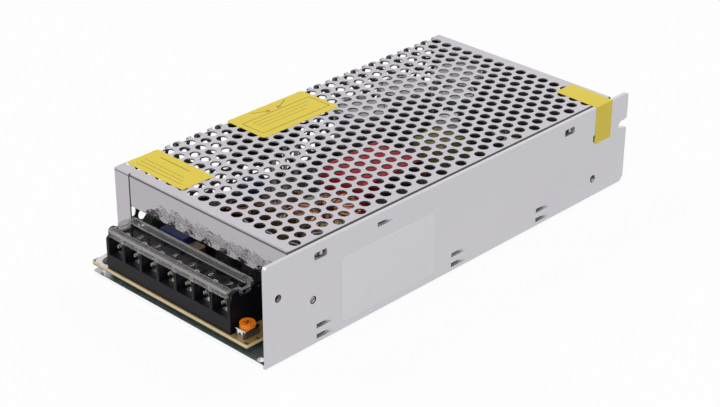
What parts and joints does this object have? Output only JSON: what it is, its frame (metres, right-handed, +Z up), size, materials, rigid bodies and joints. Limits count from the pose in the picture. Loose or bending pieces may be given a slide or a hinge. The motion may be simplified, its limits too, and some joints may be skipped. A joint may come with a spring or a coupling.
{
  "type": "open frame power supply",
  "caption": "Enclosed switching power supply with a perforated folded cover, a folded aluminium chassis and a barrier terminal block under a hinged clear lid.",
  "frame": {"origin": "middle of the chassis base's underside, half way along its length and width", "axes": "+X across the case towards the folded side wall, +Y along the case from the terminals to the tail, +Z up from the base"},
  "size_m": [0.0962, 0.199, 0.0401],
  "materials": {
    "chassis_sheet": "satin",
    "cover_sheet": "satin",
    "zinc_steel": "zinc plated",
    "dark_screw": "dull",
    "fish_paper": "matte",
    "board_laminate": "satin",
    "black_moulding": "satin",
    "tinned_brass": "tinned",
    "nickel_steel": "nickel plated",
    "clear_plastic": "clear",
    "trimmer_black": "matte",
    "trimmer_metal": "bright",
    "orange_plastic": "gloss",
    "blue_box": "satin",
    "thermistor_coat": "matte",
    "fuse_glass": "clear",
    "green_coat": "satin",
    "copper_wire": "enamelled",
    "black_plastic": "matte",
    "blue_disc": "gloss",
    "black_epoxy": "matte",
    "capacitor_can": "sleeved",
    "red_plastic": "gloss",
    "wire_sleeve": "matte",
    "ferrite": "matte",
    "red_tape": "satin",
    "belt_tape": "satin",
    "yellow_tape": "satin",
    "olive_core": "satin",
    "grey_pad": "matte",
    "white_cement": "matte",
    "resistor_coat": "satin",
    "brown_film": "gloss",
    "tinned_wire": "tinned",
    "silver_label": "satin",
    "yellow_label": "matte"
  },
  "bodies": {
    "case": {"chassis": "chassis_sheet", "cover": "cover_sheet", "cover_screws": "zinc_steel", "insulation_sheet": "fish_paper", "standoffs": "zinc_steel", "board": "board_laminate", "board_screws": "dark_screw", "terminal_housing": "black_moulding", "contact_strips": "tinned_brass", "clamp_plates": "nickel_steel", "terminal_screws": "nickel_steel", "trimmer_body": "trimmer_black", "trimmer_frame": "trimmer_metal", "filter_capacitor": "blue_box", "thermistor": "thermistor_coat", "fuse": "fuse_glass", "fuse_clips": "tinned_brass", "line_choke_core": "green_coat", "line_choke_windings": "copper_wire", "line_choke_base": "black_plastic", "safety_capacitors": "blue_disc", "bridge_rectifier": "black_epoxy", "bulk_capacitors": "capacitor_can", "selector_switch": "black_plastic", "selector_rivets": "zinc_steel", "selector_wires": "wire_sleeve", "transformer_core": "ferrite", "transformer_bobbin": "black_plastic", "transformer_winding": "red_tape", "transformer_belt": "belt_tape", "driver_core": "ferrite", "driver_winding": "yellow_tape", "output_choke_core": "olive_core", "output_choke_winding": "copper_wire", "output_choke_base": "black_plastic", "output_capacitors": "capacitor_can", "small_capacitors": "capacitor_can", "output_rectifier": "black_epoxy", "rectifier_screw": "zinc_steel", "power_transistors": "black_epoxy", "transistor_clamp": "zinc_steel", "clamp_screw": "zinc_steel", "insulating_pads": "grey_pad", "control_chips": "black_epoxy", "cement_resistor": "white_cement", "resistors": "resistor_coat", "film_capacitors": "brown_film", "small_transistors": "black_epoxy", "jumpers": "tinned_wire", "side_label": "silver_label", "top_label": "yellow_label", "selector_label": "yellow_label", "inspection_tape": "yellow_label"},
    "lid": {"terminal_lid": "clear_plastic"},
    "rotor": {"trimmer_rotor": "orange_plastic"},
    "slider": {"selector_slider": "red_plastic"}
  },
  "joints": [
    {"name": "lid_hinge", "type": "hinge", "parent": "case", "child": "lid", "pos_m": [-0.005, -0.0854, 0.0197], "axis": [-1, 0, 0], "range_deg": [0, 50]},
    {"name": "trimmer_turn", "type": "hinge", "parent": "case", "child": "rotor", "pos_m": [0.0322, -0.0942, 0.01], "axis": [0, 0, 1], "range_deg": [-115, 115]},
    {"name": "selector_slide", "type": "slide", "parent": "case", "child": "slider", "axis": [0, 1, 0], "range_m": [0, 0.005]}
  ]
}
